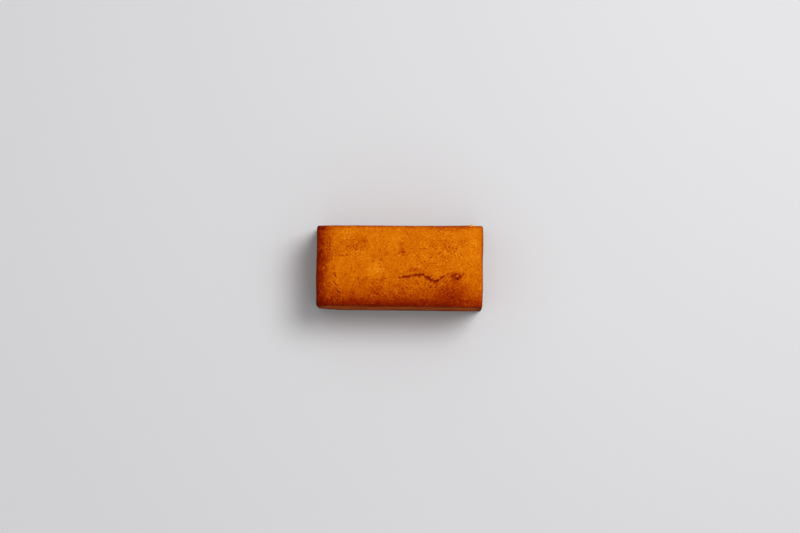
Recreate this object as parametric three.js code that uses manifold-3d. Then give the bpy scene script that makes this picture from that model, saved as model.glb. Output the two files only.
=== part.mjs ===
// A small pound cake loaf, baked in a straight-sided tin and stood on its base.
// It is one solid of cake: near-upright walls that lean out a little towards the foot and
// swell between the loaf's corners, a nearly flat top whose left and front shoulders slump,
// one long ragged split in the crust with a short branch, three slits, and a lump of batter
// on the back rim.
// Millimetres, +Z up, X along the loaf, origin at the middle of the base.
import * as THREE from "three";
import { mergeVertices } from "three/addons/utils/BufferGeometryUtils.js";
import Module from "manifold-3d";

// Driving dimensions.
const LENGTH = 133.4; // along X, across the top
const WIDTH = 65; // along Y, across the top
const HEIGHT = 56; // base to the highest part of the crust
const SKEW = 0.5; // how far the back edge is out of square at each end

// Edge radii. Each wall has its own radius across, and the top and the base theirs up and down.
const WALL_EDGE = { left: 1.8, right: 1.6, front: 1.8, back: 1.6 };
const TOP_EDGE = 2.2;
const BASE_EDGE = 2.4;

// How far the short and the long walls swell at mid-height, and lean out at the foot.
const SHORT_WALLS = { bulge: 0.5, lean: 2 };
const LONG_WALLS = { bulge: 0.6, lean: 2.2 };
const HOLD = 12; // how far from an upright corner the swelling is held back by it
const TUCK = { by: 1.5, reach: 28 }; // how much less the front wall leans at its left end
const WALL_WAVE = 0.35; // slow unevenness of the walls
const TOP_WAVE = 0.25; // slow unevenness of the top

// How far the top falls towards each wall, and over what width it does so.
const SHOULDERS = {
  left: { fall: 2.4, reach: 15 },
  right: { fall: 0.8, reach: 8 },
  front: { fall: 2.2, reach: 13 },
  back: { fall: 0.7, reach: 7 },
};

// The lines that the splits follow across the top, and each split's width between its lips,
// its depth and how far its lips stand up.
const TEAR = [
  [-1, -9.3], [5, -8.9], [10, -7.2], [15, -6.8], [20, -7.5],
  [24, -10.3], [28.3, -12], [33, -9.8], [39, -6.2],
];
const BRANCH = [[41.2, -7.2], [44.4, -9.4], [46.8, -10], [49, -7.6], [51.8, -4.8]];
const SLITS = [
  [[-51.6, -5.2], [-52, -7.4], [-50.2, -10.2]],
  [[-54.2, -11.8], [-51.6, -14.4], [-49.4, -16.8]],
  [[-51.4, -17.4], [-49.8, -20], [-46.8, -22.8]],
];
const SPLITS = [
  { line: TEAR, width: 2.2, depth: 3.4, swell: 0.5 },
  { line: BRANCH, width: 2, depth: 1.8, swell: 0.25 },
  ...SLITS.map((line) => ({ line, width: 1.1, depth: 1.4, swell: 0.15 })),
];
const SPLIT_STEP = 1.2; // length of split between two sections
const SWELL_REACH = 5; // how far from a split the swelling of its lips reaches
const CLEAR_ABOVE = 3; // how far a cutter stands out of the crust

// The lump on the back rim, as an ellipsoid.
const LUMP = { x: 57, drop: 1.2, radii: [2.1, 1.5, 1.3] };

// Mesh density.
const CELL = 4; // cell size away from the edges
const EDGE_CELLS = 2; // cells across the rounded band along each edge

const half = { x: LENGTH / 2, y: WIDTH / 2 };

// How far the top has fallen at a distance from a wall, easing to nothing at the reach.
function shoulder(distance, { fall, reach }) {
  const t = THREE.MathUtils.clamp(1 - distance / reach, 0, 1);
  return fall * t * t;
}

// Distance from a point of the top to a split's line.
function distanceTo(line, x, y) {
  const p = new THREE.Vector3(x, y, 0);
  const near = new THREE.Vector3();
  const span = new THREE.Line3();
  let least = Infinity;
  for (let i = 1; i < line.length; i++) {
    span.start.set(...line[i - 1], 0);
    span.end.set(...line[i], 0);
    span.closestPointToPoint(p, true, near);
    least = Math.min(least, near.distanceTo(p));
  }
  return least;
}

// Height of the crust over a point of the plan.
function topHeight(x, y) {
  const wave = TOP_WAVE * (Math.sin(x / 11 + 0.8) * Math.cos(y / 9) + Math.sin(x / 23 - y / 13));
  let z = HEIGHT - 2 * TOP_WAVE + wave;
  z -= shoulder(half.x + x, SHOULDERS.left) + shoulder(half.x - x, SHOULDERS.right);
  z -= shoulder(half.y + y, SHOULDERS.front) + shoulder(half.y - y, SHOULDERS.back);
  for (const { line, swell } of SPLITS) {
    z += swell * Math.exp(-((distanceTo(line, x, y) / SWELL_REACH) ** 2));
  }
  return z;
}

// How far a wall stands out from the top's plan at a share of the height, for a point at some
// distance from the nearer upright corner.
function wallOffset(x, y, share, toCorner, { bulge, lean }) {
  const arch = Math.sin(Math.PI * share);
  const wave = WALL_WAVE * Math.sin(x / 14 + y / 10 + 0.6) * arch ** 2;
  const held = THREE.MathUtils.clamp(1 - toCorner / HOLD, 0, 1) ** 2;
  return lean * (1 - share) + (1 - held) * (bulge * arch + wave);
}

// How far the front wall's left end is drawn back in at a share of the height.
function tucked(x, y, share) {
  const atLeft = THREE.MathUtils.clamp(1 - (half.x + x) / TUCK.reach, 0, 1) ** 2;
  return TUCK.by * atLeft * Math.max(0, -y / half.y) * (1 - share);
}

// How far the back half's out-of-squareness moves a point along Y.
function skewed(x, y) {
  return SKEW * (x / half.x) * Math.max(0, y / half.y);
}

// Where cell border k of n lies between -span and span, with EDGE_CELLS borders in each
// rounded band and the rest spread evenly.
function border(k, n, span, low, high) {
  if (k <= EDGE_CELLS) return -span + (low * k) / EDGE_CELLS;
  if (n - k <= EDGE_CELLS) return span - (high * (n - k)) / EDGE_CELLS;
  return THREE.MathUtils.mapLinear(k, EDGE_CELLS, n - EDGE_CELLS, -span + low, span - high);
}

function cellsAcross(size) {
  return Math.round(size / CELL) + 2 * EDGE_CELLS;
}

// A closed mesh whose vertices are merged, with positions only.
function merged(geometry) {
  geometry.deleteAttribute("normal");
  geometry.deleteAttribute("uv");
  return mergeVertices(geometry, 1e-4);
}

// The loaf before its crust splits: a box of cells, rounded, then shaped wall by wall.
function loafGeometry() {
  const cells = [LENGTH, WIDTH, HEIGHT].map(cellsAcross);
  const geometry = merged(new THREE.BoxGeometry(...cells, ...cells));
  const position = geometry.getAttribute("position");
  const p = new THREE.Vector3();
  const core = new THREE.Vector3();
  for (let i = 0; i < position.count; i++) {
    p.fromBufferAttribute(position, i);
    const k = p.toArray().map((value, axis) => Math.round(value + cells[axis] / 2));
    p.set(
      border(k[0], cells[0], half.x, WALL_EDGE.left, WALL_EDGE.right),
      border(k[1], cells[1], half.y, WALL_EDGE.front, WALL_EDGE.back),
      border(k[2], cells[2], HEIGHT / 2, BASE_EDGE, TOP_EDGE) + HEIGHT / 2,
    );
    round(p, core);
    const { x, y } = p;
    const share = p.z / HEIGHT;
    const outX = wallOffset(x, y, share, half.y - Math.abs(y), SHORT_WALLS);
    const outY = wallOffset(x, y, share, half.x - Math.abs(x), LONG_WALLS);
    position.setXYZ(
      i,
      x * (1 + outX / half.x),
      y * (1 + outY / half.y) + skewed(x, y) + tucked(x, y, share),
      share * topHeight(x, y),
    );
  }
  return geometry;
}

// Moves a point of the box's surface onto the box with rounded edges.
function round(p, core) {
  const radii = new THREE.Vector3(
    p.x < 0 ? WALL_EDGE.left : WALL_EDGE.right,
    p.y < 0 ? WALL_EDGE.front : WALL_EDGE.back,
    p.z < HEIGHT / 2 ? BASE_EDGE : TOP_EDGE,
  );
  core.set(
    THREE.MathUtils.clamp(p.x, radii.x - half.x, half.x - radii.x),
    THREE.MathUtils.clamp(p.y, radii.y - half.y, half.y - radii.y),
    THREE.MathUtils.clamp(p.z, radii.z, HEIGHT - radii.z),
  );
  const off = p.clone().sub(core).divide(radii).normalize().multiply(radii);
  p.copy(core).add(off);
}

// A wedge along a split's line, sharp below and open above the crust, thin at both ends.
function wedgeGeometry({ line, width, depth }) {
  const curve = new THREE.CatmullRomCurve3(line.map(([x, y]) => new THREE.Vector3(x, y, 0)));
  const steps = Math.max(6, Math.round(curve.getLength() / SPLIT_STEP));
  const points = [];
  for (let i = 0; i <= steps; i++) {
    const at = curve.getPointAt(i / steps);
    const along = curve.getTangentAt(i / steps);
    const open = Math.max(0.12, Math.sqrt(Math.sin((Math.PI * i) / steps)));
    const deep = depth * open;
    const spread = (width / 2) * open * ((deep + CLEAR_ABOVE) / deep);
    const z = topHeight(at.x, at.y);
    points.push(
      [at.x - along.y * spread, at.y + along.x * spread, z + CLEAR_ABOVE],
      [at.x, at.y, z - deep],
      [at.x + along.y * spread, at.y - along.x * spread, z + CLEAR_ABOVE],
    );
  }
  const faces = [[0, 1, 2]];
  for (let i = 0; i < steps; i++) {
    for (let side = 0; side < 3; side++) {
      const a = 3 * i + side;
      const b = 3 * i + ((side + 1) % 3);
      faces.push([a, a + 3, b], [b, a + 3, b + 3]);
    }
  }
  const last = 3 * steps;
  faces.push([last, last + 2, last + 1]);
  const geometry = new THREE.BufferGeometry();
  geometry.setAttribute("position", new THREE.Float32BufferAttribute(points.flat(), 3));
  geometry.setIndex(faces.flat());
  return geometry;
}

function lumpGeometry() {
  const geometry = merged(new THREE.IcosahedronGeometry(1, 2));
  geometry.scale(...LUMP.radii);
  const rim = half.y - WALL_EDGE.back / 2;
  geometry.translate(LUMP.x, rim + skewed(LUMP.x, rim), topHeight(LUMP.x, rim) - LUMP.drop);
  return geometry;
}

const wasm = await Module();
wasm.setup();

function solidOf(geometry) {
  const vertProperties = new Float32Array(geometry.getAttribute("position").array);
  const triVerts = new Uint32Array(geometry.getIndex().array);
  return new wasm.Manifold(new wasm.Mesh({ numProp: 3, vertProperties, triVerts }));
}

function geometryOf(solid) {
  const { vertProperties, triVerts } = solid.getMesh();
  const geometry = new THREE.BufferGeometry();
  geometry.setAttribute("position", new THREE.BufferAttribute(vertProperties, 3));
  geometry.setIndex(new THREE.BufferAttribute(triVerts, 1));
  geometry.computeVertexNormals();
  return geometry;
}

function loafSolid() {
  let solid = solidOf(loafGeometry()).add(solidOf(lumpGeometry()));
  for (const split of SPLITS) {
    solid = solid.subtract(solidOf(wedgeGeometry(split)));
  }
  return solid;
}

const crust = new THREE.MeshStandardMaterial({ color: 0xcf7015, roughness: 0.7, metalness: 0 });
const loaf = new THREE.Mesh(geometryOf(loafSolid()), crust);
loaf.name = "loaf";

const cake = new THREE.Group();
cake.name = "pound_cake";
cake.add(loaf);

export default cake;
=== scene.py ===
# %% [markdown]
# # A small pound cake loaf
#
# A whole, uncut butter cake that stands on its base, as it came out of a straight-sided tin. It
# is one piece, and all that shows is crust: a flat top that browned in the oven's open air and
# tore along one ragged line, and four walls and a foot that browned against the metal.
#
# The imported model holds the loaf's true size and place. This script makes the crust: a fine
# mesh of the same shape, the relief and pores in it, its browning, and the crumbs that cling
# to it. Lengths are in millimetres until a mesh is made, because a crust is judged in them.

# %% Load the frame and read the loaf's size
import math

import bpy
import numpy as np
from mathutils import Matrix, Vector, noise


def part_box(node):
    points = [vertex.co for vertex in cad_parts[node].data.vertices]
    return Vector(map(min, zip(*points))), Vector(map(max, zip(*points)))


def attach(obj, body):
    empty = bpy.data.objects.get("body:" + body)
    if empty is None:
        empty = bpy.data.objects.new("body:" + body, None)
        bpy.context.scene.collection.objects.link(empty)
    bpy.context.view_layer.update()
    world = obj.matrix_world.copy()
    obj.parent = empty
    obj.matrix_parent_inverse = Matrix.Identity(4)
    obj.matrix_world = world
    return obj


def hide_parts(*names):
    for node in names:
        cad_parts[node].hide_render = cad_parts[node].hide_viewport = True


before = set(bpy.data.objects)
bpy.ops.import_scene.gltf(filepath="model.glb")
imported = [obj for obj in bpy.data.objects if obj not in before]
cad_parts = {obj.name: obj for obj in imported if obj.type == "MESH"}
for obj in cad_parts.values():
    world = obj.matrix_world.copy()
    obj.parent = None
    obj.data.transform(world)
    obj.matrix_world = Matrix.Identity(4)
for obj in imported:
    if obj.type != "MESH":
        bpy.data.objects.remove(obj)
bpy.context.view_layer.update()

MM = 0.001
low, high = (np.array(corner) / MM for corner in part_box("loaf"))
SIZE = high - low
print("loaf", SIZE.round(1), "mm")

# %% [markdown]
# ## Trees that read as sums
#
# Relief and colour are both worked out in node trees. Built by hand, a tree of fifty nodes is
# hard to follow, so a small class stands for any socket and lets it be added, multiplied and
# eased as a number is. What it builds are plain Math, Vector Math and Map Range nodes.

# %% Helpers for node trees
def feed(socket, value):
    """Sets a socket to a value, or links it to a field."""
    if isinstance(value, Field):
        socket.id_data.links.new(value.socket, socket)
    else:
        socket.default_value = value


def add(tree, kind, inputs=None, **settings):
    """A new node with its settings, and with its inputs fed by name or by number."""
    node = tree.nodes.new(kind)
    for name, value in settings.items():
        setattr(node, name, value)
    for name, value in (inputs or {}).items():
        feed(node.inputs[name], value)
    return node


class Field:
    """A number, colour or direction that a node tree works out all over a surface."""

    def __init__(self, socket):
        self.socket = socket
        self.tree = socket.id_data

    def maths(self, operation, *others):
        inputs = dict(enumerate((self, *others)))
        return Field(add(self.tree, "ShaderNodeMath", inputs, operation=operation).outputs[0])

    def __add__(self, other):
        return self.maths("ADD", other)

    def __sub__(self, other):
        return self.maths("SUBTRACT", other)

    def __mul__(self, other):
        return self.maths("MULTIPLY", other)

    def rest(self):
        """What is left of 1."""
        return self * -1 + 1

    def ease(self, start, end, low=0.0, high=1.0):
        """Goes smoothly from low to high while this field goes from start to end."""
        inputs = {"Value": self, "From Min": start, "From Max": end, "To Min": low, "To Max": high}
        node = add(self.tree, "ShaderNodeMapRange", inputs, interpolation_type="SMOOTHSTEP")
        return Field(node.outputs[0])

    def scaled(self, amount):
        """This direction times a number."""
        node = add(self.tree, "ShaderNodeVectorMath", {0: self, "Scale": amount}, operation="SCALE")
        return Field(node.outputs[0])


def mottle(place, size_mm, seed, detail=2.0, roughness=0.5):
    """Soft noise round 0, between about -0.5 and 0.5, in blotches of about a size."""
    inputs = {
        "Vector": place,
        "W": seed,
        "Scale": 1 / (size_mm * MM),
        "Detail": detail,
        "Roughness": roughness,
    }
    texture = add(place.tree, "ShaderNodeTexNoise", inputs, noise_dimensions="4D")
    return Field(texture.outputs[0]) - 0.5


# %% [markdown]
# ## Floor, light and camera
#
# The cake is seen from almost straight above, a little from the front. The sun and a square
# softbox shine together from the right and the back, so the shadow falls left and forwards, and
# the softbox, being near, also makes the floor paler on its own side. A pale sky, brighter
# towards the horizon as a studio's walls are, fills the shadow. The stage comes first, so that
# every later piece can be judged under its own light.

# %% The floor
FLOOR_RADIUS = 6.0  # metres, far enough for the horizon to look like a studio's
FLOOR_SIDES = 96
FLOOR_COLOUR = (0.74, 0.74, 0.755)


def principled(name, colour, roughness, specular):
    """A plain material, and its tree and shader for more to be built on."""
    material = bpy.data.materials.new(name)
    material.use_nodes = True
    tree = material.node_tree
    shader = tree.nodes["Principled BSDF"]
    feed(shader.inputs["Base Color"], (*colour, 1))
    feed(shader.inputs["Roughness"], roughness)
    feed(shader.inputs["Specular IOR Level"], specular)
    return material, tree, shader


def mesh_object(name, vertices, faces):
    mesh = bpy.data.meshes.new(name)
    mesh.from_pydata(vertices, [], faces)
    thing = bpy.data.objects.new(name, mesh)
    bpy.context.scene.collection.objects.link(thing)
    return thing


turns = np.linspace(0, 2 * math.pi, FLOOR_SIDES, endpoint=False)
ring = [(FLOOR_RADIUS * math.cos(a), FLOOR_RADIUS * math.sin(a), 0) for a in turns]
floor = mesh_object("floor", ring, [range(len(ring))])
floor_paint, _, _ = principled("pale_floor", FLOOR_COLOUR, roughness=0.8, specular=0.2)
floor.data.materials.append(floor_paint)
print("floor", 2 * FLOOR_RADIUS, "m across")

# %% The lights
KEY_BEARING = math.degrees(math.atan2(21, 27))  # from +X towards the back
KEY_ELEVATION = 58.6
BOX_DISTANCE = 1.25  # metres from the loaf
BOX_SIDE = 0.62  # metres
BOX_WATTS = 5.4
SUN_STRENGTH = 0.95
SUN_WIDTH = math.radians(28)  # as wide in the sky as the softbox
ZENITH, HORIZON = 0.42, 0.52  # the sky's brightness
HORIZON_TOP = 0.45  # how far up the horizon's glow reaches, as a share of the way to overhead


def direction(bearing, elevation):
    """A unit direction, from its bearing round from +X and its elevation, in degrees."""
    b, e = math.radians(bearing), math.radians(elevation)
    return Vector((math.cos(b) * math.cos(e), math.sin(b) * math.cos(e), math.sin(e)))


def lamp_facing_loaf(name, kind, towards, distance, energy):
    """A light that faces the loaf from a direction."""
    light = bpy.data.lights.new(name, kind)
    light.energy = energy
    lamp = bpy.data.objects.new(name, light)
    lamp.location = towards * distance
    lamp.rotation_euler = towards.to_track_quat("Z", "Y").to_euler()
    bpy.context.scene.collection.objects.link(lamp)
    return light


towards_key = direction(KEY_BEARING, KEY_ELEVATION)
softbox = lamp_facing_loaf("softbox", "AREA", towards_key, BOX_DISTANCE, BOX_WATTS)
softbox.shape = "SQUARE"
softbox.size = BOX_SIDE
sun = lamp_facing_loaf("sun", "SUN", towards_key, BOX_DISTANCE, SUN_STRENGTH)
sun.angle = SUN_WIDTH

world = bpy.data.worlds.new("pale_sky")
world.use_nodes = True
sky = world.node_tree
upwards = Field(add(sky, "ShaderNodeTexCoord").outputs["Generated"])
up = Field(add(sky, "ShaderNodeSeparateXYZ", {0: upwards}).outputs["Z"])
feed(sky.nodes["Background"].inputs["Color"], (1.0, 1.0, 1.0, 1))
feed(sky.nodes["Background"].inputs["Strength"], up.ease(0.0, HORIZON_TOP, HORIZON, ZENITH))
bpy.context.scene.world = world
print("key from", [round(c, 2) for c in towards_key])

# %% The camera
LENS = 68.0  # millimetres, on a 36 mm wide sensor
VIEW_ELEVATION = 87.2
VIEW_DISTANCE = 1.2105  # metres from the point aimed at
AIM = Vector((0.3, -0.4, SIZE[2])) * MM  # just off the middle of the top
ROLL = math.radians(0.6)

lens = bpy.data.cameras.new("camera")
lens.lens = LENS
camera = bpy.data.objects.new("camera", lens)
back = direction(-90, VIEW_ELEVATION)
camera.location = AIM + back * VIEW_DISTANCE
camera.rotation_euler = back.to_track_quat("Z", "Y").to_euler()
camera.rotation_euler.rotate_axis("Z", ROLL)
bpy.context.scene.collection.objects.link(camera)
bpy.context.scene.camera = camera
bpy.context.scene.view_settings.view_transform = "Standard"
print("camera", [round(c, 3) for c in camera.location])

# %% [markdown]
# ## The blank
#
# A loaf from a tin is a box with small round edges. A sculpted cube would have its finest faces
# in the wrong places, and a remesh would blur the edges, so the blank is a grid on each side of
# a box. Every grid point keeps its place in the box's lattice, and that gives the six sides
# shared vertices along their edges, an even density, and a UV map with no folds. The foot is
# never seen and flat, so it has cells three times as wide.

# %% Grid lines along the three axes
CELL = 0.60  # millimetres, the grid away from the edges
TOP = np.array([133.4, 65.0, 56.0])  # the top's plan, and the height
WALL_RADII = [(1.8, 1.6), (1.8, 1.6)]  # across the edges: left and right, then front and back
HEIGHT_RADII = (2.4, 2.2)  # up and down the edges: the foot's, then the rim's
RADII = [*WALL_RADII, HEIGHT_RADII]
BAND_CELLS = 4  # cells across each rounded band
FOOT_STEP = 3  # grid cells to one cell of the foot


def grid_lines(size, low_band, high_band):
    """Where grid lines lie from 0 to a size, with the rounded bands at both ends finer."""
    cells = round((size - low_band - high_band) / CELL)
    inner = np.linspace(low_band, size - high_band, cells + 1)
    start = np.linspace(0, low_band, BAND_CELLS, endpoint=False)
    end = np.linspace(size, size - high_band, BAND_CELLS, endpoint=False)[::-1]
    return np.concatenate([start, inner, end])


LINES = [grid_lines(size, *bands) for size, bands in zip(TOP, RADII)]
COUNTS = [len(lines) - 1 for lines in LINES]
print("cells", COUNTS)


# %% Faces of the six sides
def key_of(lattice):
    """One whole number for each lattice point."""
    i, j, k = np.moveaxis(lattice, -1, 0)
    return (i * (COUNTS[1] + 1) + j) * (COUNTS[2] + 1) + k


def lattice_of(keys):
    ij, k = np.divmod(keys, COUNTS[2] + 1)
    i, j = np.divmod(ij, COUNTS[1] + 1)
    return np.stack([i, j, k], axis=-1)


def side_keys(axis, far):
    """A side's lattice points, in rows and columns that turn anticlockwise seen from outside."""
    across, along = (axis + 1) % 3, (axis + 2) % 3
    if not far:
        across, along = along, across
    shape = (COUNTS[across] + 1, COUNTS[along] + 1)
    lattice = np.zeros((*shape, 3), int)
    lattice[..., across] = np.arange(shape[0])[:, None]
    lattice[..., along] = np.arange(shape[1])[None, :]
    lattice[..., axis] = COUNTS[axis] if far else 0
    return key_of(lattice)


def fine_faces(keys):
    corners = [keys[:-1, :-1], keys[1:, :-1], keys[1:, 1:], keys[:-1, 1:]]
    return np.stack(corners, axis=-1).reshape(-1, 4).tolist()


def stops(count):
    """Where the foot's wider cells start and end."""
    return [*range(0, count - FOOT_STEP + 1, FOOT_STEP), count]


def coarse_faces(keys):
    """Wide cells that still meet every fine vertex along the side's border."""
    last_u, last_v = keys.shape[0] - 1, keys.shape[1] - 1
    rows, columns = stops(last_u), stops(last_v)
    faces = []
    for u0, u1 in zip(rows, rows[1:]):
        for v0, v1 in zip(columns, columns[1:]):
            step_u0 = 1 if v0 == 0 else u1 - u0
            step_v1 = 1 if u1 == last_u else v1 - v0
            step_u1 = 1 if v1 == last_v else u1 - u0
            step_v0 = 1 if u0 == 0 else v1 - v0
            walk = [(u, v0) for u in range(u0, u1, step_u0)]
            walk += [(u1, v) for v in range(v0, v1, step_v1)]
            walk += [(u, v1) for u in range(u1, u0, -step_u1)]
            walk += [(u0, v) for v in range(v1, v0, -step_v0)]
            faces.append([int(keys[u, v]) for u, v in walk])
    return faces


SIDES = {
    "left": (0, False),
    "right": (0, True),
    "front": (1, False),
    "back": (1, True),
    "foot": (2, False),
    "top": (2, True),
}
faces_of = {}
for side, (axis, far) in SIDES.items():
    cut = coarse_faces if side == "foot" else fine_faces
    faces_of[side] = cut(side_keys(axis, far))
print("faces", {side: len(faces) for side, faces in faces_of.items()})

# %% [markdown]
# ## The loaf's own shape
#
# The top is almost level, and slumps at its left and front shoulders. The walls lean out
# towards the foot and swell a little between the upright corners, as cake does when it leaves
# a warm tin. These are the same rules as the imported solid's, worked out here at every grid
# point. Before that, the grid lines are drawn together along the tear and the slits, where
# the crust needs its finest faces.

# %% Easing, smooth noise and smooth curves
def eased(t):
    t = np.clip(t, 0, 1)
    return t * t * (3 - 2 * t)


def rippled(points, size, seed):
    """Smooth noise from about -1 to 1 at each point, in bumps of about a size."""
    shift = Vector((seed * 17.3, seed * 5.1, seed * 9.7))
    return np.array([noise.noise(Vector(p) / size + shift) for p in points])


def laid_flat(xy):
    """Points of the plan as points in space."""
    return np.column_stack([xy, np.zeros(len(xy))])


def curve_point(a, b, c, d, t):
    """A point of the smooth curve through four corners, at a share t of the way from b to c."""
    slope = c - a
    bend = 2 * a - 5 * b + 4 * c - d
    twist = 3 * b - a - 3 * c + d
    return 0.5 * (2 * b + slope * t + bend * t**2 + twist * t**3)


# %% Where the crust is torn
# Each line is given by its corners on the top, in millimetres from the loaf's middle.
TEAR = [
    (-1, -9.3), (5, -8.9), (10, -7.2), (15, -6.8), (20, -7.5),
    (24, -10.3), (28.3, -12), (33, -9.8), (39, -6.2),
]
BRANCH = [(41.2, -7.2), (44.4, -9.4), (46.8, -10.0), (49.0, -7.6), (51.8, -4.8)]
FORK = [(40.2, -5.2), (44.5, -6.4), (48.6, -5.8)]
SLITS = [
    [(-51.6, -5.2), (-52.0, -7.4), (-50.2, -10.2)],
    [(-54.2, -11.8), (-51.6, -14.4), (-49.4, -16.8)],
    [(-51.4, -17.4), (-49.8, -20.0), (-46.8, -22.8)],
]
HAIRLINE = [(-26, -9.8), (-18, -11), (-10, -12.6), (-4, -13.6)]
DASH = [(-0.8, 11.4), (2.0, 11.0), (4.8, 11.5)]
LINE_STEP = 0.4  # between two points of a line once it is rounded


def rounded(line, jitter=0.0, seed=0):
    """A smooth line through the corners, with a ragged wander from side to side."""
    corners = np.array(line, float)
    ends = [2 * corners[0] - corners[1], 2 * corners[-1] - corners[-2]]
    p = np.vstack([ends[0], corners, ends[1]])
    points = []
    for a, b, c, d in zip(p, p[1:], p[2:], p[3:]):
        for t in np.arange(0, 1, LINE_STEP / np.linalg.norm(c - b)):
            points.append(curve_point(a, b, c, d, t))
    points = np.array([*points, corners[-1]])
    along = np.gradient(points, axis=0)
    along /= np.linalg.norm(along, axis=1, keepdims=True)
    sideways = np.column_stack([-along[:, 1], along[:, 0]])
    flat = laid_flat(points)
    wander = jitter * (rippled(flat, 1.3, seed) + 0.6 * rippled(flat, 0.6, seed + 1))
    return points + sideways * wander[:, None]


def nearest(xy, line):
    """For each point, its distance to a line, and how far along it the nearest place is."""
    best = np.full(len(xy), np.inf)
    share = np.zeros(len(xy))
    for n, (a, b) in enumerate(zip(line, line[1:])):
        t = np.clip((xy - a) @ (b - a) / max((b - a) @ (b - a), 1e-9), 0, 1)
        distance = np.linalg.norm(xy - a - t[:, None] * (b - a), axis=1)
        closer = distance < best
        best = np.where(closer, distance, best)
        share = np.where(closer, (n + t) / (len(line) - 1), share)
    return best, share


# %% Draw the grid together along the tears
GATHER = 1.65  # 1 leaves the grid even; more draws it closer to the line
TEAR_GATHER = (7, 6)  # how far from the line it reaches, and how far past its ends it fades
SLIT_GATHER = (5, 4)


def gathered(across, line_at, reach, strength):
    """Moves grid lines towards a line, without crossing: finest there, widest at the reach."""
    off = across - line_at
    t = np.clip(np.abs(off) / reach, 0, 1)
    return np.where(np.abs(off) < reach, line_at + reach * np.sign(off) * t**strength, across)


def fading(value, low, high, fade):
    """1 between low and high, and easing to 0 outside them."""
    return eased((value - low) / fade + 1) * eased((high - value) / fade + 1)


def refined(x, y):
    """Where the top's grid points go so that the tear and the slits are drawn finely."""
    reach, fade = TEAR_GATHER
    course = np.array(TEAR + BRANCH[1:])
    centre = np.interp(x, course[:, 0], course[:, 1])
    strength = 1 + (GATHER - 1) * fading(x, course[0, 0], course[-1, 0], fade)
    y = gathered(y, centre, reach, strength)
    reach, fade = SLIT_GATHER
    course = np.array([corner for slit in SLITS for corner in slit])[::-1]
    centre = np.interp(y, course[:, 1], course[:, 0])
    strength = 1 + (GATHER - 1) * fading(y, course[0, 1], course[-1, 1], fade)
    return gathered(x, centre, reach, strength), y


# %% Round the box's edges and lay out its grid
HALF = TOP[:2] / 2
HEIGHT = TOP[2]

all_keys = np.concatenate([np.concatenate(faces).astype(int) for faces in faces_of.values()])
vertex_keys, corner_vertex = np.unique(all_keys, return_inverse=True)
lattice = lattice_of(vertex_keys)
place = np.stack([LINES[a][lattice[:, a]] for a in range(3)], axis=-1)
place[:, :2] -= HALF


def with_round_edges(p):
    """Moves the points of a box's surface onto the same box with rounded edges."""
    middle = np.array([0, 0, HEIGHT / 2])
    radii = np.column_stack([np.where(p[:, a] < middle[a], *RADII[a]) for a in range(3)])
    lower = [-HALF[0], -HALF[1], 0] + radii
    upper = [HALF[0], HALF[1], HEIGHT] - radii
    core = np.clip(p, lower, upper)
    out = (p - core) / radii
    out /= np.linalg.norm(out, axis=1, keepdims=True)
    return core + out * radii


place = with_round_edges(place)
on_top = lattice[:, 2] == COUNTS[2]
place[on_top, 0], place[on_top, 1] = refined(place[on_top, 0], place[on_top, 1])
print("vertices", len(place))

# %% The walls and the top
SHORT_WALLS = (0.5, 2.0)  # how far they swell at mid-height, and lean out at the foot
LONG_WALLS = (0.6, 2.2)
HOLD = 12  # how far from an upright corner the swelling is held back by it
TUCK, TUCK_REACH = 1.5, 28  # how much less the front wall leans at its left end, and how far along
SKEW = 0.5  # how far the back edge is out of square at each end
WALL_WAVE = 0.35  # slow unevenness of the walls
TOP_WAVE = 0.25  # slow unevenness of the top
SHOULDERS = {  # how far the top falls towards each wall, and over what width it does so
    "left": (2.4, 15),
    "right": (0.8, 8),
    "front": (2.2, 13),
    "back": (0.7, 7),
}


def to_walls(x, y):
    """The distance of each point of the plan from each wall."""
    return {"left": HALF[0] + x, "right": HALF[0] - x, "front": HALF[1] + y, "back": HALF[1] - y}


def top_height(x, y):
    wave = np.sin(x / 11 + 0.8) * np.cos(y / 9) + np.sin(x / 23 - y / 13)
    z = HEIGHT - 2 * TOP_WAVE + TOP_WAVE * wave
    for wall, distance in to_walls(x, y).items():
        fall, reach = SHOULDERS[wall]
        z = z - fall * np.clip(1 - distance / reach, 0, 1) ** 2
    return z


def wall_offset(x, y, share, to_corner, wall):
    """How far a wall stands out from the top's plan."""
    bulge, lean = wall
    arch = np.sin(np.pi * share)
    wave = WALL_WAVE * np.sin(x / 14 + y / 10 + 0.6) * arch**2
    held = np.clip(1 - to_corner / HOLD, 0, 1) ** 2
    return lean * (1 - share) + (1 - held) * (bulge * arch + wave)


x, y, z = place.T
share = z / HEIGHT
out_x = wall_offset(x, y, share, HALF[1] - np.abs(y), SHORT_WALLS)
out_y = wall_offset(x, y, share, HALF[0] - np.abs(x), LONG_WALLS)
skewed = SKEW * (x / HALF[0]) * np.maximum(0, y / HALF[1])
at_left = np.clip(1 - (HALF[0] + x) / TUCK_REACH, 0, 1) ** 2
tucked = TUCK * at_left * np.maximum(0, -y / HALF[1]) * (1 - share)
shaped = np.column_stack([
    x * (1 + out_x / HALF[0]),
    y * (1 + out_y / HALF[1]) + skewed + tucked,
    share * top_height(x, y),
])
print("box", shaped.min(0).round(1), shaped.max(0).round(1))

# %% [markdown]
# ## The tear
#
# As the inside rises, a crust that has already set splits. The tear is a string of small
# holes joined by a thin crack, with lumpy lips, so it isn't one even groove: each hole has its
# own size, depth and place beside the line. The slits, the hairline and the short dash are
# plain cracks. Cutting them with a boolean would leave clean knife edges. Moving the grid down
# keeps the crust's skin whole over the lips.

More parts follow.
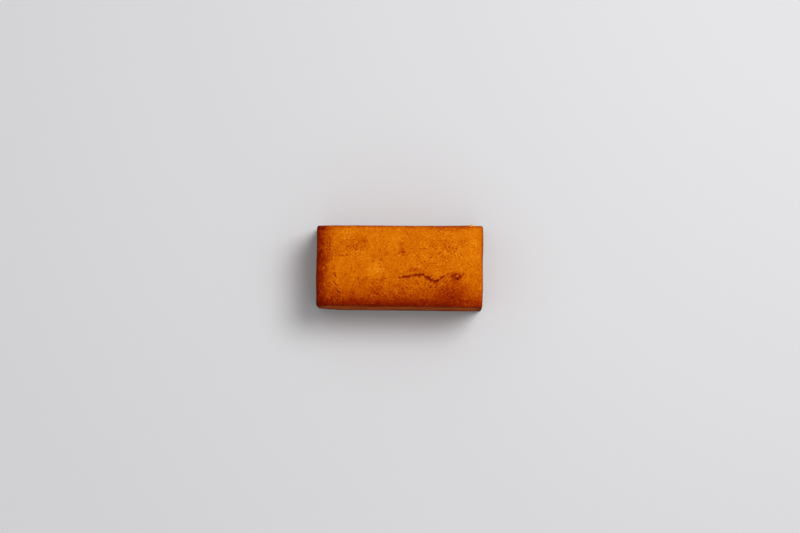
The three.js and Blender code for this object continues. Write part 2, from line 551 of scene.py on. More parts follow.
# %% Tear the crust
TEARS = [
    # line, hole radius, hole depth, crack half width, crack depth, lip height, how much browner
    # its lips are (or paler, below 0); lengths in millimetres
    (rounded(TEAR, 0.5, 1), 1.20, 1.6, 0.32, 0.35, 0.50, 0.60),
    (rounded(BRANCH, 0.6, 2), 1.00, 0.8, 0.40, 0.25, 0.45, 0.55),
    (rounded(FORK, 0.6, 3), 0.80, 0.6, 0.35, 0.20, 0.35, 0.55),
    (rounded(HAIRLINE, 0.5, 4), 0.0, 0.0, 0.35, 0.22, 0.06, 0.08),
    (rounded(DASH, 0.2, 6), 0.0, 0.0, 0.55, 0.40, 0.10, 0.35),
    *[(rounded(slit, 0.15, 5), 0.0, 0.0, 0.55, 0.75, 0.40, -0.25) for slit in SLITS],
]
TEAR_REACH = 6  # a tear changes nothing further away
LIP_REACH = 1.5
STAIN_REACH = 0.9  # how far the browning goes beyond a tear
INSIDE = 0.05  # how far a point has to sink to be in a tear and not on its lip
HOLE_STEP = 2.4  # between one hole and the next, in hole radii
FIRST_HOLE, LAST_HOLE = 0.8, 0.5  # how far the holes stay from the line's two ends
HOLE_STRAY = 0.3  # how far a hole may lie beside its line
HOLE_RADII = (0.7, 1.15)  # smallest and largest, as shares of the tear's hole radius
HOLE_DEPTHS = (0.6, 1.1)
HOLE_LONG, HOLE_WIDE = 1.40, 0.95  # a hole's shape along and across its line
stray = np.random.default_rng(7)


def hollowed(t):
    """The section of a hole or a crack: 1 in its middle and 0 from its edge outwards."""
    return np.clip(1 - t**2, 0, 1) ** 0.8


def holes_along(line, radius, depth):
    """Each hole of a tear: its centre, its direction, and its own radius and depth."""
    length = LINE_STEP * (len(line) - 1)
    for at in np.arange(FIRST_HOLE, length - LAST_HOLE, HOLE_STEP * radius):
        nth = min(int((at + stray.uniform(-0.5, 0.5)) / LINE_STEP), len(line) - 2)
        course = line[nth + 1] - line[nth]
        centre = line[nth] + stray.normal(0, HOLE_STRAY, 2)
        smaller_at_ends = 0.7 + 0.3 * math.sin(math.pi * at / length)
        own_radius = radius * stray.uniform(*HOLE_RADII) * smaller_at_ends
        own_depth = depth * stray.uniform(*HOLE_DEPTHS)
        yield centre, course / np.linalg.norm(course), own_radius, own_depth


def torn(xy, line, hole_radius, hole_depth, half_width, depth, lip, stain):
    """How far a tear lifts or lowers the crust, and how much darker each point is for it: browner
    lips, and holes painted darker the deeper they sink, as painted shade.
    """
    distance, along = nearest(xy, line)
    close = distance < TEAR_REACH
    distance, along, points = distance[close], along[close], xy[close]
    open_share = np.sqrt(np.sin(np.pi * np.clip(along, 0.01, 0.99)))
    sunk = depth * open_share * hollowed(distance / (half_width * np.maximum(open_share, 0.2)))
    edge = distance - half_width
    holes = holes_along(line, hole_radius, hole_depth) if hole_radius else []
    for centre, course, own_radius, own_depth in holes:
        off = points - centre
        lengthwise, across = off @ course, off @ [-course[1], course[0]]
        stretched = np.hypot(lengthwise / HOLE_LONG, across / HOLE_WIDE)
        sunk = np.maximum(sunk, own_depth * hollowed(stretched / own_radius))
        edge = np.minimum(edge, stretched - own_radius)
    flat = laid_flat(points)
    lumps = np.clip(0.65 + 0.7 * rippled(flat, 2.2, 13) + 0.35 * rippled(flat, 0.9, 14), 0, 2)
    outside = np.clip(edge, 0, None)
    raised = lip * lumps * open_share * np.exp(-outside / LIP_REACH) * (sunk < INSIDE)
    lips = stain * open_share * lumps * np.exp(-outside / STAIN_REACH)
    # A hole is painted darker the deeper it sinks, as painted shade, and its lips' browning adds to
    # it.
    hole = np.clip(0.15 + sunk, 0, 1) + np.maximum(lips, 0)
    lift, tear_brown_and_shade = np.zeros(len(xy)), np.zeros(len(xy))
    lift[close] = raised - sunk
    tear_brown_and_shade[close] = np.where(sunk > INSIDE, hole, lips)
    return lift, np.clip(tear_brown_and_shade, -1, 1)


# %% Lower and lift the top's vertices
split = np.zeros(len(shaped))
for tear in TEARS:
    lift, tear_brown_and_shade = torn(shaped[on_top, :2], *tear)
    shaped[on_top, 2] += lift
    stronger = np.abs(tear_brown_and_shade) > np.abs(split[on_top])
    split[on_top] = np.where(stronger, tear_brown_and_shade, split[on_top])
deepest = shaped[on_top & (split > 0.9), 2].min()
print("torn vertices", int((split > 0.5).sum()), "deepest", deepest.round(2))

# %% [markdown]
# ## Browning, and painted shade
#
# Crust browns where it is hottest and driest: along the rim, and in soft patches. The wide dark
# bands along the top's left and front edges are partly browning and partly painted shade, for the
# sides turned away from the lamps, and the dark foot of the walls is partly browning and partly
# a painted shadow where the loaf meets the floor. Painting it by hand would not follow the edges,
# and a long list of patches is clumsy as nodes, so the broad colour is worked out at each vertex
# and kept as an attribute. The shader adds everything finer.

# %% How brown each part of the crust is, with its painted shade
TOP_BROWN, TOP_UNEVEN = 0.335, 0.035  # on average, and how much it varies in broad patches
WALL_BROWN, WALL_UNEVEN, WALL_RAGGED = 0.53, 0.13, 0.07
SPLIT_BROWN_AND_SHADE = 0.30  # how much darker the tear's lips are for browning, and its holes for painted shade
RIM_LOW, RIM_BAND = 0.958, 0.041  # where wall turns into top, in shares of the height
BANDS = {  # on the top: how much darker by each wall, how far in, how ragged the border is; the wide left and front bands are partly browning, partly painted shade
    "front": [(0.15, 8, 1.2), (0.19, 20, 2.5), (0.14, 38, 4.0)],
    "left": [(0.17, 8.5, 1.2), (0.33, 19.5, 2.6)],
    "right": [(0.17, 2.4, 0.5)],
    "back": [(0.17, 2.8, 0.5)],
}
FRONT_FADE = 0.3  # how much weaker the front band's browning and painted shade are at the right end
FADE_FROM, FADE_OVER = 30, 30  # where along the loaf it starts to weaken, and over what length
FOOT_BANDS = [(0.28, 28, 1.5), (0.20, 10, 1.5)]  # and the same on the walls: darker towards the foot, partly browning and partly a painted shadow where the loaf meets the floor
RIM_BANDS = [(0.22, 5, 1.0)]
CORNER_BANDS = [(0.20, 6, 1.0)]
PATCH_RAGGED, FRECKLE_RAGGED = 0.8, 1.2  # how ragged the borders of the parts below are
PATCHES = [  # centre, half sizes, how much browner
    ((43, -23), (13, 9), 0.10),
    ((44, -17), (10, 9), 0.06),
    ((41, -11), (9, 4), 0.06),
    ((17, -4), (10, 3), 0.06),
    ((11, -2.6), (4, 2), 0.12),
    ((-36, 17), (13, 7), 0.04),
    ((-56, 31), (12, 3), 0.03),
    ((46, -8), (5.5, 3.5), 0.10),
    ((42, 31), (19, 3), 0.10),
    ((58, 14), (6, 13), -0.06),
    ((-6, 20), (9, 8), -0.03),
    ((-42, 26), (12, 5), -0.03),
    ((-20, -2), (8, 7), -0.09),
    ((-46, 8.2), (7.5, 1.0), 0.12),
    ((-29, 20), (4, 3), 0.08),
    ((-36, 15), (2.6, 1.6), 0.10),
    ((-22.5, 8.5), (2.4, 1.4), 0.12),
    ((-14.3, 4.8), (1.6, 2.4), 0.12),
    ((1, 17), (2.6, 2.4), 0.06),
    ((2, 13.4), (2.6, 2.0), 0.10),
]
FRECKLED = [  # centre and half sizes of the parts with most dark specks
    ((-46, 8.4), (8, 1.6)),
    ((-34, 15), (10, 7)),
    ((-21, 5.5), (6, 3)),
    ((-14, 2), (3, 4)),
    ((-56, 12), (5, 10)),
    ((2, 11), (3.5, 5)),
    ((32, 12), (20, 12)),
    ((22, -15), (26, 8)),
    ((-52, -28), (12, 4)),
    ((-24, -12), (16, 3)),
]


xy = shaped[:, :2]
broad = rippled(shaped, 11, 21)  # slow changes
ragged = rippled(shaped, 4.2, 22) + 0.5 * rippled(shaped, 1.9, 23)  # uneven borders
upness = eased((share - RIM_LOW) / RIM_BAND)  # 0 on the walls and 1 on the top


def patch(centre, half, raggedness):
    """1 in the middle of a patch of the top, and 0 outside it."""
    t = np.linalg.norm((xy + raggedness * ragged[:, None] - centre) / half, axis=1)
    return eased(1.35 - t)


def banded(distance, bands):
    """How much darker the crust is at a distance from an edge: browning, and in some bands painted
    shade.
    """
    return sum(
        amount * eased(1 - (distance + raggedness * ragged) / reach)
        for amount, reach, raggedness in bands
    )


# %% Brown the top, with painted shade along its left and front edges
walls_away = to_walls(x, y)
# The wide left and front bands are partly browning and partly painted shade, for the sides turned
# away from the lamps.
band_brown_and_shade = {wall: banded(walls_away[wall], bands) for wall, bands in BANDS.items()}
band_brown_and_shade["front"] *= 1 - FRONT_FADE * eased((x - FADE_FROM) / FADE_OVER)
bands_together = sum(band**4 for band in band_brown_and_shade.values()) ** 0.25  # no darker in the corners
top_brown_and_shade = TOP_BROWN + TOP_UNEVEN * broad + bands_together
for centre, half, amount in PATCHES:
    top_brown_and_shade += amount * patch(centre, half, PATCH_RAGGED)
freckled = sum(patch(centre, half, FRECKLE_RAGGED) for centre, half in FRECKLED) * upness

# %% Brown the walls, with a painted shadow at their foot, and join both
to_corner = np.maximum(HALF[0] - np.abs(x), HALF[1] - np.abs(y))
wall_brown_and_shade = WALL_BROWN + WALL_UNEVEN * broad + WALL_RAGGED * ragged
# Darker towards the foot: partly browning, partly a painted shadow where the loaf meets the floor.
wall_brown_and_shade += banded(shaped[:, 2], FOOT_BANDS)
wall_brown_and_shade += banded((1 - share) * HEIGHT, RIM_BANDS)
wall_brown_and_shade += banded(to_corner, CORNER_BANDS)
brown_and_shade = wall_brown_and_shade + (top_brown_and_shade - wall_brown_and_shade) * upness
brown_and_shade = np.clip(brown_and_shade + SPLIT_BROWN_AND_SHADE * split, 0, 1)
print("brown_and_shade", brown_and_shade.min().round(2), "to", brown_and_shade.max().round(2))

# %% [markdown]
# ## From points to a mesh
#
# The six sides are joined at their shared vertices. The UV map lays each side out flat, by its
# place in the lattice, so that a baked texture has one scale on all the sides but the foot,
# and no seams but the loaf's own edges.

# %% Make the mesh
face_sizes = [len(face) for faces in faces_of.values() for face in faces]
ends = np.cumsum(face_sizes)
corner_list = corner_vertex.ravel().tolist()
loaf_faces = [corner_list[end - size : end] for end, size in zip(ends.tolist(), face_sizes)]
cake = mesh_object("pound_cake", (shaped * MM).tolist(), loaf_faces)
mesh = cake.data
# The first attribute holds the browning together with the painted shade of the top's left and front
# bands, the walls' foot and the tear's holes.
for name, values in {"brown_and_shade": brown_and_shade, "split": split, "top": upness, "freckled": freckled}.items():
    mesh.attributes.new(name, "FLOAT", "POINT").data.foreach_set("value", values.astype(np.float32))
mesh.polygons.foreach_set("use_smooth", np.ones(len(mesh.polygons), bool))
print("faces", len(mesh.polygons), "valid", not mesh.validate())

# %% Lay out its sides
GUTTER = 2.0  # millimetres between two sides on the map
FOOT_SHRINK = 0.5  # the foot is never seen, so it takes less room
ATLAS = {  # where each side's lowest corner goes, as columns and rows of the map
    "top": (0, 0),
    "right": (1, 0),
    "front": (0, 1),
    "left": (1, 1),
    "back": (0, 2),
    "foot": (1, 2),
}
column_start = [0, TOP[0] + GUTTER]
row_start = [0, TOP[1] + GUTTER, TOP[1] + TOP[2] + 2 * GUTTER]
atlas_side = max(column_start[1] + TOP[1], row_start[2] + TOP[2]) + GUTTER
PLAN_AXES = {0: (1, 2), 1: (0, 2), 2: (0, 1)}  # the two axes that a side is laid out by

uv = np.zeros((len(all_keys), 2))
start = 0
for side, faces in faces_of.items():
    corners = sum(len(face) for face in faces)
    spots = lattice_of(all_keys[start : start + corners])
    flat = np.stack([LINES[a][spots[:, a]] for a in PLAN_AXES[SIDES[side][0]]], axis=-1)
    if side == "foot":
        flat = flat * FOOT_SHRINK
    column, row = ATLAS[side]
    origin = [column_start[column], row_start[row]]
    uv[start : start + corners] = (flat + origin + GUTTER / 2) / atlas_side
    start += corners
layer = mesh.uv_layers.new(name="OFBake")
layer.data.foreach_set("uv", uv.astype(np.float32).ravel())
print("map", round(atlas_side), "mm across")

# %% [markdown]
# ## Pores and wrinkles
#
# Bubbles that touched the tin or reached the open top left pores, thousands of them, of all
# sizes. They repeat over a surface, so Geometry Nodes make them: points are scattered at least
# a pore's width apart, each with its own radius, and every vertex sinks according to how near it
# is to the closest one. The same tree adds the crust's slow dents and fine wrinkles.

# %% A tree's named inputs
def new_tree(name, inputs):
    """A Geometry Nodes tree, and its inputs as fields. Inputs are name: (kind, value)."""
    tree = bpy.data.node_groups.new(name, "GeometryNodeTree")
    tree.interface.new_socket("Geometry", in_out="INPUT", socket_type="NodeSocketGeometry")
    for label, (kind, value) in inputs.items():
        socket = tree.interface.new_socket(label, in_out="INPUT", socket_type="NodeSocket" + kind)
        if value is not None:
            socket.default_value = value
    tree.interface.new_socket("Geometry", in_out="OUTPUT", socket_type="NodeSocketGeometry")
    group_in = tree.nodes.new("NodeGroupInput")
    return tree, {socket.name: Field(socket) for socket in group_in.outputs if socket.name}


def finish_tree(tree, geometry, material):
    """Realizes what the tree made and gives it its material."""
    realized = Field(add(tree, "GeometryNodeRealizeInstances", {"Geometry": geometry}).outputs[0])
    painted = add(tree, "GeometryNodeSetMaterial", {"Geometry": realized, "Material": material})
    feed(tree.nodes.new("NodeGroupOutput").inputs[0], Field(painted.outputs[0]))


def named(tree, name):
    """An attribute of the mesh, as a field."""
    node = add(tree, "GeometryNodeInputNamedAttribute", {"Name": name}, data_type="FLOAT")
    return Field(node.outputs["Attribute"])


def run_tree(thing, tree, settings):
    """Runs a tree on an object, with its inputs set, and keeps the result as a plain mesh."""
    modifier = thing.modifiers.new(tree.name, "NODES")
    modifier.node_group = tree
    identifiers = {
        item.name: item.identifier
        for item in tree.interface.items_tree
        if item.item_type == "SOCKET" and item.in_out == "INPUT"
    }
    for name, value in settings.items():
        modifier[identifiers[name]] = value
    graph = bpy.context.evaluated_depsgraph_get()
    result = bpy.data.meshes.new_from_object(
        thing.evaluated_get(graph), preserve_all_data_layers=True, depsgraph=graph
    )
    thing.modifiers.remove(modifier)
    old, thing.data = thing.data, result
    bpy.data.meshes.remove(old)
    return result


# %% Pores as a field
DENSEST = 4e5  # points for each square metre, before those too close to others are dropped
PORE_SIZES = (0.3, 1.0)  # smallest and largest, as shares of the pore radius
PORE_RAGGED = 0.7 * MM  # how far noise moves a pore's border, from innermost to outermost
PORE_FLOOR = 0.2  # how much of a pore's radius is its flat middle


def position(tree):
    return Field(tree.nodes.new("GeometryNodeInputPosition").outputs[0])


def normal(tree):
    return Field(tree.nodes.new("GeometryNodeInputNormal").outputs[0])


def pores(geometry, where, spacing, radius, depth, seed):
    """How far each vertex sinks into the nearest pore, in metres, and 0 to 1 into its middle."""
    tree = geometry.tree
    inputs = {
        "Mesh": geometry,
        "Distance Min": spacing,
        "Density Max": DENSEST,
        "Density Factor": where,
        "Seed": seed,
    }
    scatter = add(tree, "GeometryNodeDistributePointsOnFaces", inputs, distribute_method="POISSON")
    dots = Field(scatter.outputs["Points"])
    here = position(tree)
    closest = Field(add(tree, "GeometryNodeSampleNearest", {"Geometry": dots}).outputs[0])

    def of_closest(value, kind):
        """A value of the closest pore's own point."""
        inputs = {"Geometry": dots, "Index": closest}
        node = add(tree, "GeometryNodeSampleIndex", inputs, data_type=kind)
        feed(node.inputs["Value"], value)
        return Field(node.outputs[0])

    inputs = {2: PORE_SIZES[0], 3: PORE_SIZES[1], "Seed": seed + 1}
    chance = add(tree, "FunctionNodeRandomValue", inputs, data_type="FLOAT")
    own_size = of_closest(Field(chance.outputs[1]), "FLOAT")
    centre = of_closest(here, "FLOAT_VECTOR")
    away = add(tree, "ShaderNodeVectorMath", {0: here, 1: centre}, operation="DISTANCE")
    away = Field(away.outputs["Value"]) + mottle(here, 1.1, 31) * PORE_RAGGED
    hollow = away.ease(radius * own_size, radius * own_size * PORE_FLOOR)
    return hollow * own_size * depth, hollow


# %% The tree of the crust's relief, and its named inputs
relief, relief_inputs = new_tree(
    "crust_relief",
    {
        "Wall pore spacing": ("Float", 2.1 * MM),
        "Wall pore radius": ("Float", 1.15 * MM),
        "Wall pore depth": ("Float", 0.75 * MM),
        "Top pore spacing": ("Float", 3.2 * MM),
        "Top pore radius": ("Float", 0.75 * MM),
        "Top pore depth": ("Float", 0.35 * MM),
        "Dents": ("Float", 0.7 * MM),
        "Wrinkles": ("Float", 0.32 * MM),
        "Rim lumps": ("Float", 0.9 * MM),
        "Crust": ("Material", None),
    },
)
print("inputs of the relief tree", list(relief_inputs))

# %% Where the pores are
blank = relief_inputs["Geometry"]
vertex = position(relief)
top_share = named(relief, "top")
above_foot = Field(add(relief, "ShaderNodeSeparateXYZ", {0: vertex}).outputs["Z"])
off_foot = above_foot.ease(0.4 * MM, 3.0 * MM)
wall_here = top_share.rest() * off_foot
rim_here = above_foot.ease((HEIGHT - 6.5) * MM, (HEIGHT - 2.0) * MM) * top_share.rest()


def pores_of(part, where, seed):
    """The pores of the walls or of the top, with the sizes that the tree is given."""
    sizes = [relief_inputs[f"{part} pore {measure}"] for measure in ("spacing", "radius", "depth")]
    return pores(blank, where, *sizes, seed)


wall_where = mottle(vertex, 16, 32).ease(-0.22, 0.2, 0.25, 1.0) * wall_here
top_where = mottle(vertex, 12, 33).ease(-0.1, 0.2, 0.2, 1.0) * top_share
wall_sink, wall_hollow = pores_of("Wall", wall_where, 5)
top_sink, top_hollow = pores_of("Top", top_where, 8)
print("nodes in the relief tree so far", len(relief.nodes))

# %% Raise and sink the crust
wrinkles = mottle(vertex, 3.4, 35, detail=3, roughness=0.6) * relief_inputs["Wrinkles"]
rise = mottle(vertex, 21, 34, detail=1) * relief_inputs["Dents"]
rise = rise + wrinkles * (top_share * 0.5 + 0.5)
rise = rise + mottle(vertex, 4.5, 36, detail=2) * relief_inputs["Rim lumps"] * rim_here
rise = rise * off_foot - wall_sink * wall_here - top_sink * top_share

inputs = {"Geometry": blank, "Name": "pore"}
kept = add(relief, "GeometryNodeStoreNamedAttribute", inputs, data_type="FLOAT")
feed(kept.inputs["Value"], (wall_hollow * wall_here).maths("MAXIMUM", top_hollow * top_share))
inputs = {"Geometry": Field(kept.outputs[0]), "Offset": normal(relief).scaled(rise)}
risen = add(relief, "GeometryNodeSetPosition", inputs)
finish_tree(relief, Field(risen.outputs[0]), relief_inputs["Crust"])
print("nodes in the relief tree", len(relief.nodes))

# %% [markdown]
# ## Baked crust
#
# Butter crust is golden orange where it is thin and mahogany where it is dark, with almost no
# blue in it, and it is never one colour for more than a millimetre: every grain that stands
# up has browned more than the hollow beside it. So one fine pattern drives both colour and
# bump. The shine is a weak, warm film of butter, broken up by the grain.

# %% Colours of the crust from pale to burnt
TOP_COLOURS = [  # how brown, and the colour in linear red, green and blue
    (0.00, (0.89, 0.42, 0.050)),
    (0.16, (0.83, 0.270, 0.010)),
    (0.26, (0.77, 0.195, 0.0022)),
    (0.36, (0.66, 0.148, 0.0014)),
    (0.50, (0.50, 0.080, 0.0011)),
    (0.62, (0.375, 0.0355, 0.0009)),
    (0.75, (0.250, 0.0150, 0.0007)),
    (0.88, (0.150, 0.0058, 0.0004)),
    (1.00, (0.075, 0.0020, 0.0002)),
]
WALL_COLOURS = [
    (0.00, (0.86, 0.50, 0.170)),
    (0.22, (0.64, 0.210, 0.026)),
    (0.42, (0.45, 0.094, 0.0075)),
    (0.62, (0.27, 0.037, 0.0024)),
    (0.82, (0.125, 0.0120, 0.0009)),
    (1.00, (0.045, 0.0032, 0.0004)),
]


def ramp(value, stops_of_colour):
    """The colour that goes with a value, between the stops."""
    node = add(value.tree, "ShaderNodeValToRGB", {0: value})
    elements = node.color_ramp.elements
    while len(elements) < len(stops_of_colour):
        elements.new(0.5)
    for element, (at, colour) in zip(elements, stops_of_colour):
        element.position = at
        element.color = (*colour, 1)
    return Field(node.outputs[0])


def attribute(tree, name):
    return Field(add(tree, "ShaderNodeAttribute", attribute_name=name).outputs["Fac"])


def blend(a, b, share):
    """Colour a, going to colour b as the share goes to 1."""
    node = add(a.tree, "ShaderNodeMix", {0: share, 6: a, 7: b}, data_type="RGBA")
    return Field(node.outputs[2])


# %% Small pits
def pits(place, spacing_mm, radius_mm, share_of_cells):
    """Small ragged hollows of many sizes: 1 in the middle of each and 0 between them."""
    inputs = {"Vector": place, "Scale": 1 / (spacing_mm * MM)}
    cells = add(place.tree, "ShaderNodeTexVoronoi", inputs, feature="F1")
    parts = add(place.tree, "ShaderNodeSeparateColor", {0: Field(cells.outputs["Color"])})
    there, own_size = Field(parts.outputs[0]), Field(parts.outputs[1]) * 0.6 + 0.4
    edge = own_size * (radius_mm / spacing_mm)
    distance = Field(cells.outputs["Distance"]) + mottle(place, spacing_mm / 2, 47) * 0.35
    hollow = distance.ease(edge, edge * 0.25)
    return hollow * there.ease(1.02 - share_of_cells, 0.98 - share_of_cells)


# %% The crust's patterns
PATTERNS = {  # size in millimetres, seed, detail and roughness
    "grain": (0.62, 41, 3, 0.62),
    "speck": (1.35, 42, 2, 0.6),
    "cloud": (3.6, 43, 3, 0.6),
    "drift": (15, 44, 2, 0.5),
}
WIDE_PITS = (2.6, 1.3, 0.75)  # spacing and radius in millimetres, and the share of cells with one
FINE_PITS = (1.25, 0.62, 0.7)
PINHOLES = (1.05, 0.34, 0.5)
BROWNS_AND_SHADES = {  # how much browner each pattern makes the crust; the pits and the top's pores are painted darker, as painted shade in their hollows
    "grain": 0.48,
    "speck": 0.57,
    "cloud": 0.31,
    "drift": 0.15,
    "dark dot": 0.16,
    "pale dot": -0.12,
    "wall pore": -0.10,
    "top pore shade": 0.08,
    "wide pit shade": 0.15,
    "fine pit shade": 0.12,
}

crust, crust_tree, crust_shader = principled("baked_crust", (0.7, 0.18, 0.005), 0.6, 0.025)
crust_place = Field(add(crust_tree, "ShaderNodeTexCoord").outputs["Object"])
brown_and_shade_here, split_here, pore_here, top_here, freckled_here = (
    attribute(crust_tree, name) for name in ("brown_and_shade", "split", "pore", "top", "freckled")
)
grain, speck, cloud, drift = (mottle(crust_place, *pattern) for pattern in PATTERNS.values())
pitted_here = mottle(crust_place, 12, 46).ease(-0.2, 0.1, 0.2, 1.0)
wall_share = top_here.rest()
wide_pits = pits(crust_place, *WIDE_PITS) * pitted_here * wall_share
fine_pits = pits(crust_place, *FINE_PITS) * wall_share
pinholes = pits(crust_place, *PINHOLES)
print("nodes in the patterns", len(crust_tree.nodes))

# %% The crust's colour
rough_here = mottle(crust_place, 9, 45, detail=1).ease(-0.14, 0.12, 0.55, 1.15)
speckled = top_here.ease(0.0, 1.0, 0.45, 1.0)  # a wall's own specks are fainter than the top's
fine = (grain * BROWNS_AND_SHADES["grain"] + speck * BROWNS_AND_SHADES["speck"]) * rough_here * speckled
dark_dots = (speck + freckled_here * 0.10).ease(0.11, 0.21) * speckled
pale_dots = speck.ease(-0.10, -0.22) * speckled
# Pores on the walls are paler, for the crumb in them; pores on the top are painted darker, as painted
# shade.
pore_tone_and_shade = top_here.ease(0.0, 1.0, BROWNS_AND_SHADES["wall pore"], BROWNS_AND_SHADES["top pore shade"])

browned_and_shaded = brown_and_shade_here + fine + cloud * BROWNS_AND_SHADES["cloud"] + drift * BROWNS_AND_SHADES["drift"]
browned_and_shaded = browned_and_shaded + dark_dots * BROWNS_AND_SHADES["dark dot"] + pale_dots * BROWNS_AND_SHADES["pale dot"]
browned_and_shaded = browned_and_shaded + pore_here * pore_tone_and_shade
# The pits are painted darker, as painted shade in their hollows.
browned_and_shaded = browned_and_shaded + wide_pits * BROWNS_AND_SHADES["wide pit shade"] + fine_pits * BROWNS_AND_SHADES["fine pit shade"]
colour = blend(ramp(browned_and_shaded, WALL_COLOURS), ramp(browned_and_shaded, TOP_COLOURS), top_here)
feed(crust_shader.inputs["Base Color"], colour)
print("nodes with the colour", len(crust_tree.nodes))

# %% Grain, gloss and depth of the crust
ground = grain * 0.20 + speck * 0.22 * top_here.ease(0.0, 1.0, 0.5, 1.0)
height_mm = ground - pinholes * 0.14 - wide_pits * 0.5 - fine_pits * 0.25
gloss = top_here.ease(0.0, 1.0, 0.85, 0.62)  # walls are duller than the buttery top


def bumped(shader, height, strength):
    """Gives a material a bump, from a height in millimetres."""
    inputs = {"Strength": strength, "Distance": MM, "Height": height}
    bump = add(height.tree, "ShaderNodeBump", inputs)
    feed(shader.inputs["Normal"], Field(bump.outputs[0]))


bumped(crust_shader, height_mm, 0.8)
feed(crust_shader.inputs["Roughness"], gloss + grain * 0.25 + cloud * 0.2 + split_here * 0.2)
feed(crust_shader.inputs["Specular Tint"], (1.0, 0.5, 0.06, 1))
feed(crust_shader.inputs["Subsurface Weight"], 0.08)
feed(crust_shader.inputs["Subsurface Radius"], (1.0, 0.35, 0.08))
feed(crust_shader.inputs["Subsurface Scale"], 1.2 * MM)
print("nodes in the crust", len(crust_tree.nodes))

# %% Run the relief tree on the loaf
cake.data.materials.append(crust)
cake_mesh = run_tree(cake, relief, {"Crust": crust})
cake_mesh.name = "pound_cake"
print("loaf faces", len(cake_mesh.polygons), "attributes", [a.name for a in cake_mesh.attributes][:9])

# %% [markdown]
# ## Crumbs
#
# A loaf that has been turned out and set down keeps a few crumbs, mostly on its top, and on the
# back rim sits one larger pale lump where batter ran over. A crumb is as brown as the crust it
# lies on, painted shade included, give or take a little, and only the lump is pale. Geometry
# Nodes scatter them: points on the crust, a small ball on each, stretched and turned at random
# and sunk to its middle, then roughened by noise.

# %% The tree of the crumbs, and its named inputs
crumbling, crumb_inputs = new_tree(
    "crumbs",
    {
        "Crumbs per square metre": ("Float", 3000.0),
        "Smallest": ("Float", 0.22 * MM),
        "Largest": ("Float", 0.52 * MM),
        "Lump place": ("Vector", None),
        "Lump half size": ("Vector", None),
        "Roughness": ("Float", 0.5 * MM),
        "Crumb": ("Material", None),
    },
)
print("inputs of the crumb tree", list(crumb_inputs))

# %% Balls, sized and turned at random
BALL_FACES = 80  # of a ball of two subdivisions
FULL_TURN = (6.28, 6.28, 6.28)


def balls(tree, dots, turn, size):
    """A small ball on each point, turned and sized."""
    inputs = {"Radius": 1.0, "Subdivisions": 2}
    ball = Field(add(tree, "GeometryNodeMeshIcoSphere", inputs).outputs["Mesh"])
    inputs = {"Points": dots, "Instance": ball, "Rotation": turn, "Scale": size}
    return Field(add(tree, "GeometryNodeInstanceOnPoints", inputs).outputs[0])


def at_random(tree, low, high, seed):
    """Three numbers, each random from point to point."""
    inputs = {0: low, 1: high, "Seed": seed}
    node = add(tree, "FunctionNodeRandomValue", inputs, data_type="FLOAT_VECTOR")
    return Field(node.outputs[0])


def same_thrice(value):
    node = add(value.tree, "ShaderNodeCombineXYZ", {"X": value, "Y": value, "Z": value})
    return Field(node.outputs[0])


# %% Scatter the crumbs and set the lump
where = named(crumbling, "top") * 0.93 + 0.07  # few lie on the walls
density = where * crumb_inputs["Crumbs per square metre"]
inputs = {"Mesh": crumb_inputs["Geometry"], "Density": density, "Seed": 3}
scatter = add(crumbling, "GeometryNodeDistributePointsOnFaces", inputs)
turn = at_random(crumbling, (0, 0, 0), FULL_TURN, 4)
smallest, largest = (same_thrice(crumb_inputs[name]) for name in ("Smallest", "Largest"))
size = at_random(crumbling, smallest, largest, 5)
small = balls(crumbling, Field(scatter.outputs["Points"]), turn, size)
lump_at = add(crumbling, "GeometryNodePoints", {"Position": crumb_inputs["Lump place"]})
lump = balls(crumbling, Field(lump_at.outputs[0]), (0, 0, 0), crumb_inputs["Lump half size"])

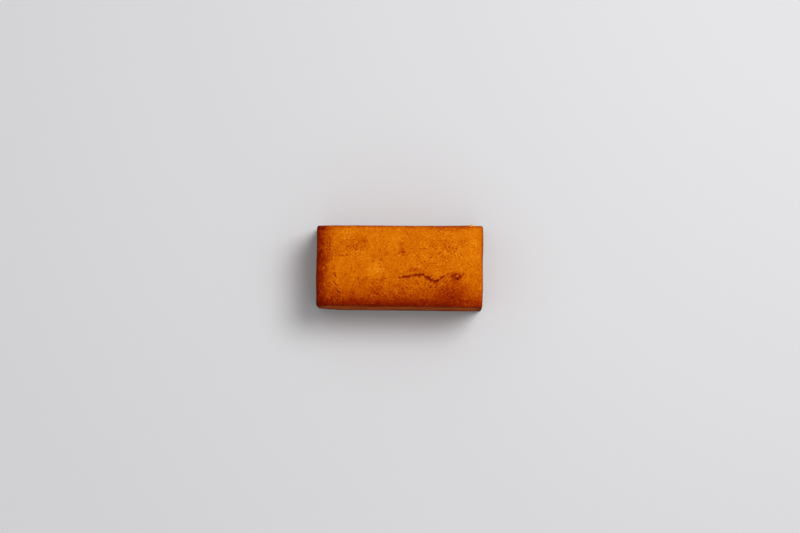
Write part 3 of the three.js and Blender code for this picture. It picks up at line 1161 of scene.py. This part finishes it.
joined = crumbling.nodes.new("GeometryNodeJoinGeometry")
for part in (small, lump):
    feed(joined.inputs[0], part)
solid = add(crumbling, "GeometryNodeRealizeInstances", {"Geometry": Field(joined.outputs[0])})
bumps = mottle(position(crumbling), 0.7, 51, detail=1) * crumb_inputs["Roughness"]
inputs = {"Geometry": Field(solid.outputs[0]), "Offset": normal(crumbling).scaled(bumps)}
roughened = add(crumbling, "GeometryNodeSetPosition", inputs)
finish_tree(crumbling, Field(roughened.outputs[0]), crumb_inputs["Crumb"])
print("nodes in the crumb tree", len(crumbling.nodes))

# %% The crumbs' colour
crumb, crumb_tree, crumb_shader = principled("loose_crumb", (0.8, 0.4, 0.1), 0.85, 0.04)
crumb_place = Field(add(crumb_tree, "ShaderNodeTexCoord").outputs["Object"])
uneven = mottle(crumb_place, 0.6, 52, detail=1) * 0.30
# The crust's attribute brings its painted shade into the crumbs' colour too.
toast_and_shade = attribute(crumb_tree, "brown_and_shade") * 0.62 + uneven + 0.12
feed(crumb_shader.inputs["Base Color"], ramp(toast_and_shade, TOP_COLOURS))
bumped(crumb_shader, mottle(crumb_place, 0.3, 54) * 0.1, 0.7)
print("nodes in the crumb", len(crumb_tree.nodes))

# %% Run the crumb tree on a copy of the loaf
LUMP_X = 57.0
LUMP_HALF_SIZE = (1.7, 1.1, 1.0)
LUMP_IN, LUMP_DOWN = 0.1, 0.9  # how far its middle lies inside the rim and below the crust

lump_y = HALF[1] + SKEW * LUMP_X / HALF[0] - LUMP_IN
lump_z = float(top_height(np.array(LUMP_X), np.array(HALF[1]))) - LUMP_DOWN
crumbs = bpy.data.objects.new("crumbs", cake.data.copy())
bpy.context.scene.collection.objects.link(crumbs)
crumb_mesh = run_tree(
    crumbs,
    crumbling,
    {
        "Lump place": Vector((LUMP_X, lump_y, lump_z)) * MM,
        "Lump half size": Vector(LUMP_HALF_SIZE) * MM,
        "Crumb": crumb,
    },
)
crumb_mesh.name = "crumbs"
crumb_faces = len(crumb_mesh.polygons)
print("crumb faces", crumb_faces, "in", crumb_faces // BALL_FACES, "crumbs")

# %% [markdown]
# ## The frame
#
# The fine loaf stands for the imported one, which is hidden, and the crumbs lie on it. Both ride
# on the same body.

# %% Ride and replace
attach(cake, "root")
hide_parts("loaf")
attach(crumbs, "root")
